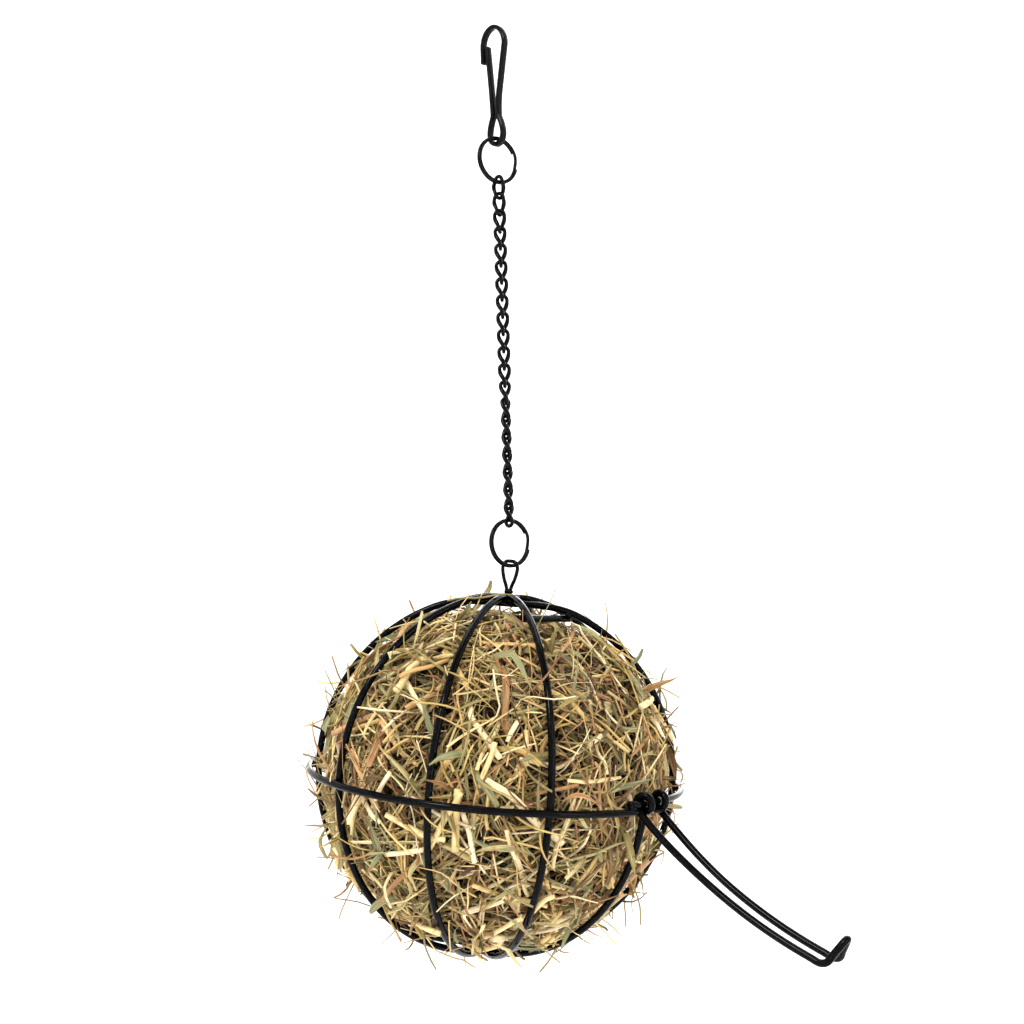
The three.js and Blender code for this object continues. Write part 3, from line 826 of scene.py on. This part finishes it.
def studio(away, right):
    """A pale floor that curves up all round, and four soft lights."""
    floor_z, flat, rise, height = -0.52, 1.5, 0.9, 3.0
    profile = [(0.0, floor_z), (flat, floor_z)]
    for a in np.radians(np.linspace(5, 90, 18)):
        profile.append((flat + rise * math.sin(a), floor_z + rise * (1 - math.cos(a))))
    profile.append((flat + rise, height))
    sides = 96
    verts = [[0, 0, floor_z]]
    for radius, z in profile[1:]:
        for j in range(sides):
            a = 2 * math.pi * j / sides
            verts.append([radius * math.cos(a), radius * math.sin(a), z])
    faces = [[0, 1 + j, 1 + (j + 1) % sides] for j in range(sides)]
    for i in range(len(profile) - 2):
        a, b = 1 + i * sides, 1 + (i + 1) * sides
        for j in range(sides):
            q = (j + 1) % sides
            faces.append([a + j, b + j, b + q, a + q])
    n = Nodes("studio_paper")
    place = n.add("ShaderNodeTexCoord").outputs["Object"]
    tooth = n.noise(place, 60.0, 4.0)
    n.colour(n.ramp(tooth, [(0.3, srgb("f4f4f4")), (0.7, srgb("fbfbfb"))]))
    n.shader.inputs["Roughness"].default_value = 0.9
    n.shader.inputs["Specular IOR Level"].default_value = 0.1
    n.shader.inputs["Emission Color"].default_value = (1, 1, 1, 1)
    n.shader.inputs["Emission Strength"].default_value = 0.35
    mesh = bpy.data.meshes.new("studio_floor")
    mesh.from_pydata(verts, [], faces)
    mesh.polygons.foreach_set("use_smooth", [True] * len(mesh.polygons))
    mesh.materials.append(n.material)
    floor = bpy.data.objects.new("studio_floor", mesh)
    bpy.context.scene.collection.objects.link(floor)
    world = bpy.data.worlds.new("studio_world")
    world.use_nodes = True
    sky = world.node_tree.nodes["Background"]
    sky.inputs["Color"].default_value = (1, 1, 1, 1)
    sky.inputs["Strength"].default_value = 0.45
    bpy.context.scene.world = world
    target = np.array([0, 0, BALL_CENTRE[2] * MM])
    up = np.array([0, 0, 1.0])
    soft_light("key", target + away * 0.75 - right * 0.45 + up * 0.8, target, (0.22, 0.22), 10.0)
    soft_light("fill", target + away * 0.7 + right * 0.8 + up * 0.15, target, (0.35, 0.8), 3.5)
    soft_light("top", target - away * 0.25 + up * 1.15, target, (0.7, 0.7), 9.0)
    soft_light("back", target - away * 0.9 + right * 0.2 + up * 0.35, target, (0.8, 0.5), 4.0)
    bpy.context.scene.view_settings.view_transform = "Standard"
    bpy.context.scene.view_settings.look = "None"


# ---------------------------------------------------------------- hay

HAY_SURFACE = 54.2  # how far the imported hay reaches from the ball's middle
DOOR_SHUT = math.radians(DOOR_TRAVEL - DOOR_DROOP)
DOOR_SHUT_ALONG = np.array([math.cos(DOOR_SHUT), 0, math.sin(DOOR_SHUT)])
DOOR_SHUT_OUT = np.array([math.sin(DOOR_SHUT), 0, -math.cos(DOOR_SHUT)])
HINGE = np.array([EQUATOR_RADIUS, 0, 0])
STRAY_REACH = 13.5  # how far past the ribs a strand may stand
STRAND_GAP = 0.15  # left between a strand and a wire
DIPPED_RADIUS = 24.0  # how far from the axis a strand may meet the dipped hoop
RIB_BELOW_DOOR_TOP = 3.0  # the height above which the hinge's meridian has no rib
LAP_FROM = 340.0  # degrees round the equator after which both of its ends are kept clear
POLE_WELD_RADIUS = 6.5
POLE_WELD_DEPTH = 4.8
DOOR_SIDE_ROOM = 1.6  # kept clear beside the door's wires
DOOR_COIL_ROOM = 5.5  # kept clear round the hinge
DOOR_PATH_DEPTH = 8.5  # how far under the open door the shut path's rule still holds


def door_floor(along):
    """How far out the hay may lie under the shut door, from the line through its ends."""
    run = np.clip(along / DOOR_REACH, 0, 1)
    wires = 2.4 * (1 - run) + 4 * DOOR_BULGE * run * (1 - run) - DOOR_WIRE / 2 - 0.5
    return wires - (DOOR_HOOK_DEPTH + 0.4) * smooth((along - DOOR_REACH + 9) / 3)


def hay_reach(direction):
    """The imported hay's surface: lower at the top and under the shut door, with lumps and hollows."""
    rng = np.random.default_rng(21)
    lumps = unit(rng.normal(size=(26, 3)))
    height = rng.uniform(-3.4, 2.0, 26)
    near = np.exp(-((1 - direction @ lumps.T) / 0.03))
    top = smooth((direction[..., 2] - 0.8) / 0.18) * 0.8
    reach = HAY_SURFACE + (near * height).sum(-1) - top
    spot = direction * reach[..., None]
    facing = np.maximum(direction @ DOOR_SHUT_OUT, 0.3)
    limit = (door_floor((spot - HINGE) @ DOOR_SHUT_ALONG) + HINGE @ DOOR_SHUT_OUT) / facing
    band = 1 - smooth((np.abs(spot[..., 1]) - DOOR_HALF_WIDTH - DOOR_WIRE) / 5)
    band = band * smooth((direction @ DOOR_SHUT_OUT - 0.6) / 0.15)
    return reach - np.maximum(reach - limit, 0) * band


def outside_door_path(points, spare):
    """True where a point leaves room for the door's wires, shut, open and between."""
    hinge = points - HINGE
    along, out = hinge @ DOOR_SHUT_ALONG, hinge @ DOOR_SHUT_OUT
    near = np.abs(points[..., 1]) < DOOR_HALF_WIDTH + DOOR_WIRE / 2 + DOOR_SIDE_ROOM + spare
    coil = near & (np.hypot(hinge[..., 0], hinge[..., 2]) < DOOR_COIL_ROOM + spare)
    shut = near & (along > -4) & (along < DOOR_REACH + 3) & (out > door_floor(along) - spare)
    droop = math.radians(-DOOR_DROOP)
    below = hinge @ np.array([-math.sin(droop), 0, math.cos(droop)])
    return ~(coil | (shut & (below > -DOOR_PATH_DEPTH - spare)))


def clear_of_wires(points, thickness):
    """True for the strands (first axis) that pass between the wires."""
    spare = thickness[:, None] / 2 + STRAND_GAP
    r = np.linalg.norm(points, axis=-1)
    rho = np.hypot(points[..., 0], points[..., 1])
    ok = np.ones(r.shape, bool)
    rib_middle = np.clip(r, RIB_RADIUS - np.where(rho < DIPPED_RADIUS, RIB_DIP, 0.0), RIB_RADIUS)
    for k in range(MERIDIANS):
        lon = math.radians(k * RIB_SPACING)
        side = points[..., 0] * math.sin(lon) - points[..., 1] * math.cos(lon)
        ahead = points[..., 0] * math.cos(lon) + points[..., 1] * math.sin(lon) > 0
        if k == 0:
            ahead &= points[..., 2] < RIB_BELOW_DOOR_TOP
        gap = np.hypot(side, r - rib_middle)
        ok &= ~(ahead & (gap < CAGE_WIRE / 2 + spare))
    turned = np.degrees(np.arctan2(points[..., 1], points[..., 0]))
    turned = np.where(turned < EQUATOR_START, turned + 360, turned)
    for low in (equator_drop(turned), np.where(turned > LAP_FROM, 0.0, equator_drop(turned))):
        gap = np.hypot(rho - EQUATOR_RADIUS, points[..., 2] + low)
        ok &= gap > CAGE_WIRE / 2 + spare
    ok &= ~((rho < POLE_WELD_RADIUS) & (np.abs(points[..., 2]) > RIB_RADIUS - POLE_WELD_DEPTH))
    angle = math.radians(CATCH_POLAR)
    bar = np.array([math.sin(angle), 0, math.cos(angle)]) * (RIB_RADIUS - CAGE_WIRE - 1)
    gap = np.hypot(points[..., 0] - bar[0], points[..., 2] - bar[2])
    ok &= ~((np.abs(points[..., 1]) < CATCH_LENGTH / 2 + 1) & (gap < CAGE_WIRE / 2 + spare + 0.5))
    ok &= outside_door_path(points, spare)
    return ok.all(axis=1)


def tuft_heading(direction):
    """The way that the tuft of hay at each place lies."""
    rng = np.random.default_rng(24)
    middles = unit(rng.normal(size=(46, 3)))
    headings = rng.normal(size=(46, 3))
    heading = headings[(direction @ middles.T).argmax(axis=-1)]
    return unit(heading - direction * (heading * direction).sum(-1, keepdims=True))


def strand_lines(rng, count, rings, depth, length, lean, curl, kink, follow):
    """Middle lines of loose strands, bent and creased, pressed to the hay's surface."""
    direction = unit(rng.normal(size=(count, 3)))
    tangent = unit(np.cross(direction, rng.normal(size=(count, 3))))
    tangent = unit(tangent + tuft_heading(direction) * 0.8)
    tangent = unit(tangent + direction * rng.normal(0, lean, (count, 1)))
    side = unit(np.cross(tangent, rng.normal(size=(count, 3))))
    middle = direction * (hay_reach(direction) - rng.uniform(*depth, count))[:, None]
    run = np.linspace(-0.5, 0.5, rings)[None]
    size = rng.uniform(*length, (count, 1))
    crease = rng.uniform(-0.4, 0.4, (count, 1))
    angle = rng.normal(0, curl, (count, 1)) * run * 2
    angle = angle + rng.normal(0, kink, (count, 1)) * smooth((run - crease) * 14 + 0.5)
    wave = rng.normal(0, 0.12, (count, 1)) * np.sin(run * 9 + rng.uniform(0, 6, (count, 1)))
    lift = np.cross(tangent, side)
    heading = (
        tangent[:, None] * np.cos(angle)[..., None] + side[:, None] * np.sin(angle)[..., None]
        + lift[:, None] * wave[..., None]
    )
    steps = unit(heading) * (size / (rings - 1))[..., None]
    points = np.cumsum(steps, axis=1)
    points += (middle - points.mean(axis=1))[:, None]
    r = np.linalg.norm(points, axis=-1, keepdims=True)
    cap = hay_reach(points / r)[..., None] - rng.uniform(-1.2, 2.5, (count, 1, 1))
    pressed = np.where(r > cap, cap + (r - cap) * follow, r)
    return points / r * pressed


def strand_mesh(rng, lines, width, thickness, fold, taper, sides, twist, tones):
    """Closed thin bodies along the lines, with a tone and a grain place for each vertex."""
    count, rings, _ = lines.shape
    tangent = unit(np.gradient(lines, axis=1))
    normal = np.empty_like(lines)
    aside = unit(rng.normal(size=(count, 3)))
    normal[:, 0] = unit(np.cross(tangent[:, 0], aside))
    for i in range(1, rings):
        step = normal[:, i - 1]
        normal[:, i] = unit(step - tangent[:, i] * (step * tangent[:, i]).sum(-1, keepdims=True))
    across = np.cross(tangent, normal)
    run = np.linspace(0, 1, rings)
    spin = rng.normal(0, twist, (count, 1)) * run[None] + rng.uniform(0, np.pi, (count, 1))
    c, s = np.cos(spin)[..., None], np.sin(spin)[..., None]
    normal, across = normal * c + across * s, across * c - normal * s
    root = 1 - taper[0] * (1 - smooth(run / 0.18))
    tip = 1 - taper[1] * smooth((run - (1 - taper[2])) / taper[2])
    shape = (root * tip)[None]
    angle = np.linspace(0, 2 * np.pi, sides, endpoint=False)
    u, v = np.cos(angle), np.sin(angle)
    half_w = (width[:, None] / 2 * shape)[..., None]
    half_t = (thickness[:, None] / 2 * np.maximum(shape, 0.35))[..., None]
    drop = fold[:, None, None] * half_w * (1 - np.abs(u))
    x, y = u * half_w, v * half_t + drop
    verts = lines[:, :, None] + across[:, :, None] * x[..., None] + normal[:, :, None] * y[..., None]
    ring = np.arange(sides)
    quad = np.stack([ring, np.roll(ring, -1), np.roll(ring, -1) + sides, ring + sides], axis=1)
    body = (np.arange(rings - 1)[:, None, None] * sides + quad[None]).reshape(-1, 4)
    body = (np.arange(count)[:, None, None] * rings * sides + body[None]).reshape(-1, 4)
    base = np.arange(count)[:, None] * rings * sides
    faces = body.tolist() + (base + ring[::-1]).tolist() + (base + (rings - 1) * sides + ring).tolist()
    size = np.linalg.norm(np.diff(lines, axis=1), axis=-1).sum(1)
    shade = np.broadcast_to(tones[:, None, None], (count, rings, sides))
    along = np.broadcast_to((size[:, None] * run[None] * 0.09)[..., None], (count, rings, sides))
    seed = np.broadcast_to((tones * 611 + np.arange(count) * 3.7)[:, None, None] % 97, (count, rings, sides))
    wide = np.broadcast_to(u * 3.0, (count, rings, sides))
    grain = np.stack([wide, along, seed], axis=-1)
    return verts.reshape(-1, 3), faces, shade.reshape(-1), grain.reshape(-1, 3)


def paint(obj, tone, grain):
    obj.data.attributes.new("tone", "FLOAT", "POINT").data.foreach_set("value", tone.astype(np.float32))
    attribute = obj.data.attributes.new("grain", "FLOAT_VECTOR", "POINT")
    attribute.data.foreach_set("vector", grain.astype(np.float32).ravel())


def strands(name, seed, count, material, kind, depth, length, lean, curl, kink, follow, tone_shift=0.0):
    """One named piece of many loose strands of a kind."""
    rng = np.random.default_rng(seed)
    widths, thick, fold, taper, sides, twist, rings = kind
    wanted, kept_lines, kept_widths = count, [], []
    reach = RIB_RADIUS + STRAY_REACH
    while wanted > 0:
        batch = int(wanted * 1.5) + 40
        lines = strand_lines(rng, batch, rings, depth, length, lean, curl, kink, follow)
        width = rng.uniform(*widths, batch) * rng.uniform(0.75, 1.1, batch)
        clear = clear_of_wires(lines, width) & (np.linalg.norm(lines, axis=-1).max(1) < reach)
        chosen = np.flatnonzero(clear)[:wanted]
        kept_lines.append(lines[chosen])
        kept_widths.append(width[chosen])
        wanted -= len(chosen)
    lines, width = np.vstack(kept_lines), np.concatenate(kept_widths)
    tones = np.clip(rng.beta(1.15, 1.25, count) + tone_shift, 0, 1)
    folds = rng.uniform(*fold, count)
    flat = width * thick
    verts, faces, tone, grain = strand_mesh(rng, lines, width, flat, folds, taper, sides, twist, tones)
    leaf = sides == 4 and thick < 0.5
    piece = new_piece(name, in_ball(verts), faces, material, "ball", SLOT_HAY, flat=leaf)
    paint(piece, tone, grain)


# widths mm, thickness share, fold, taper (root, tip, tip length), sides, twist, rings
THIN_STEM = ((0.4, 0.95), 0.8, (0.0, 0.0), (0.1, 0.55, 0.5), 4, 0.0, 9)
STEM = ((0.8, 1.7), 0.5, (0.0, 0.0), (0.05, 0.35, 0.25), 6, 0.2, 11)
STRAW = ((1.3, 2.5), 0.3, (0.0, 0.25), (0.05, 0.3, 0.2), 8, 0.25, 14)
BLADE = ((0.9, 2.3), 0.12, (0.05, 0.5), (0.5, 0.93, 0.6), 4, 1.6, 10)
LOOSE_BLADE = ((1.3, 3.0), 0.12, (0.1, 0.4), (0.35, 0.75, 0.3), 8, 0.7, 14)
ROUND_STRAW = ((1.2, 2.4), 0.9, (0.0, 0.0), (0.0, 0.0, 0.2), 10, 0.0, 10)
WIDE_BLADE = ((2.4, 4.2), 0.07, (0.1, 0.6), (0.3, 0.9, 0.45), 4, 1.0, 12)


def hay_core_painted_shade():
    """The packed middle, rough with pressed stems, coloured near-black brown as painted shade of the ball's
    depths.
    """
    rings, sides = 72, 128
    polar = np.linspace(0.02, np.pi - 0.02, rings)
    turn = np.linspace(0, 2 * np.pi, sides, endpoint=False)
    p, t = np.meshgrid(polar, turn, indexing="ij")
    direction = np.stack([np.sin(p) * np.cos(t), np.sin(p) * np.sin(t), np.cos(p)], axis=-1)
    rng = np.random.default_rng(22)
    axes = unit(rng.normal(size=(30, 3)))
    waves = rng.uniform(14, 46, 30)
    ridges = np.abs(np.sin(direction @ axes.T * waves + rng.uniform(0, 6, 30))).mean(-1)
    radius = hay_reach(direction) - 11.0 + (ridges - 0.64) * 14
    verts = (direction * radius[..., None]).reshape(-1, 3)
    faces = []
    for i in range(rings - 1):
        for j in range(sides):
            q = (j + 1) % sides
            faces.append([i * sides + j, (i + 1) * sides + j, (i + 1) * sides + q, i * sides + q])
    faces.append(list(range(sides)))
    faces.append([(rings - 1) * sides + j for j in range(sides)][::-1])
    return verts, faces


def painted_shade_core_material():
    n = Nodes("hay_core_painted_shade")
    place = n.add("ShaderNodeTexCoord").outputs["Object"]
    stretch = n.add("ShaderNodeMapping")
    stretch.inputs["Scale"].default_value = (1.0, 1.0, 0.25)
    stretch.inputs["Rotation"].default_value = (0.5, 0.3, 0.0)
    n.link(place, stretch.inputs["Vector"])
    fibre = n.noise(stretch.outputs["Vector"], 1300.0, 4.0, 0.7, 1.2)
    clump = n.noise(place, 170.0, 3.0, 0.6)
    # Painted shade: the hay's shaded depths as dark browns over fibre streaks, with darker clumps.
    brown = n.ramp(fibre, [
        (0.3, srgb("0c0704")), (0.5, srgb("1c1108")), (0.68, srgb("33220f")), (0.8, srgb("4a371d")),
    ])
    n.colour(n.mix(n.span(clump, 0.4, 0.7, 0.0, 0.6), brown, srgb("15100a")))
    n.roughness(n.span(fibre, 0.2, 0.8, 0.75, 0.95))
    n.bump(fibre, 0.8, 0.0008)
    return n.material


def hay():
    verts, faces = hay_core_painted_shade()
    piece = new_piece("hay_core_mass", in_ball(verts), faces, painted_shade_core_material(), "ball", SLOT_HAY)
    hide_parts("hay_fill")
    # The packed and deep strands take the darkened materials, which are painted shade inside the ball.
    strands("hay_packed_blades", 31, 800, MAT_INNER_PAINTED_SHADE, BLADE, (6, 11), (18, 46), 0.2, 0.4, 0.3, 0.15)
    strands("hay_packed_stems", 32, 1000, MAT_INNER_PAINTED_SHADE, STEM, (5, 10), (18, 50), 0.2, 0.2, 0.3, 0.15)
    strands("hay_deep_stems", 39, 900, MAT_DEEP_PAINTED_SHADE, STEM, (3.5, 8), (14, 44), 0.35, 0.15, 0.3, 0.3, 0.12)
    strands("hay_stems", 33, 1500, MAT_STEM, THIN_STEM, (-1.5, 5), (12, 42), 0.38, 0.2, 0.5, 0.45)
    strands("hay_stalks", 34, 560, MAT_STEM, STEM, (-0.5, 4.5), (12, 40), 0.3, 0.08, 0.5, 0.4, -0.06)
    strands("hay_blades", 35, 760, MAT_BLADE, BLADE, (-1, 5.5), (10, 38), 0.34, 0.5, 0.6, 0.4)
    strands("hay_wide_blades", 36, 90, MAT_BLADE, WIDE_BLADE, (0.5, 4), (14, 40), 0.2, 0.4, 0.6, 0.25)
    strands("hay_straws", 40, 190, MAT_STRAW, STRAW, (-0.5, 3), (14, 38), 0.25, 0.04, 0.6, 0.35, -0.1)
    strands("hay_stray_stems", 37, 330, MAT_STEM, THIN_STEM, (-6, 2), (12, 32), 0.9, 0.5, 0.5, 0.85)
    strands("hay_stray_blades", 38, 190, MAT_BLADE, BLADE, (-5.5, 2), (10, 28), 0.9, 0.7, 0.6, 0.85)
    strands("hay_loose_straws", 41, 60, MAT_STRAW, ROUND_STRAW, (-1.5, 0.5), (14, 30), 0.3, 0.04, 0.3, 0.5)
    strands("hay_loose_blades", 42, 130, MAT_BLADE, LOOSE_BLADE, (-3, 0.5), (16, 34), 0.5, 0.35, 0.5, 0.6)


camera_away, camera_right = photo_camera()
studio(camera_away, camera_right)
snap_hook()
split_ring("split_ring_upper", "upper_ring")
chain()
split_ring("split_ring_lower", "lower_ring")
cage()
equator()
bar = catch_bar()
eye()
welds(bar)
door()
hay()
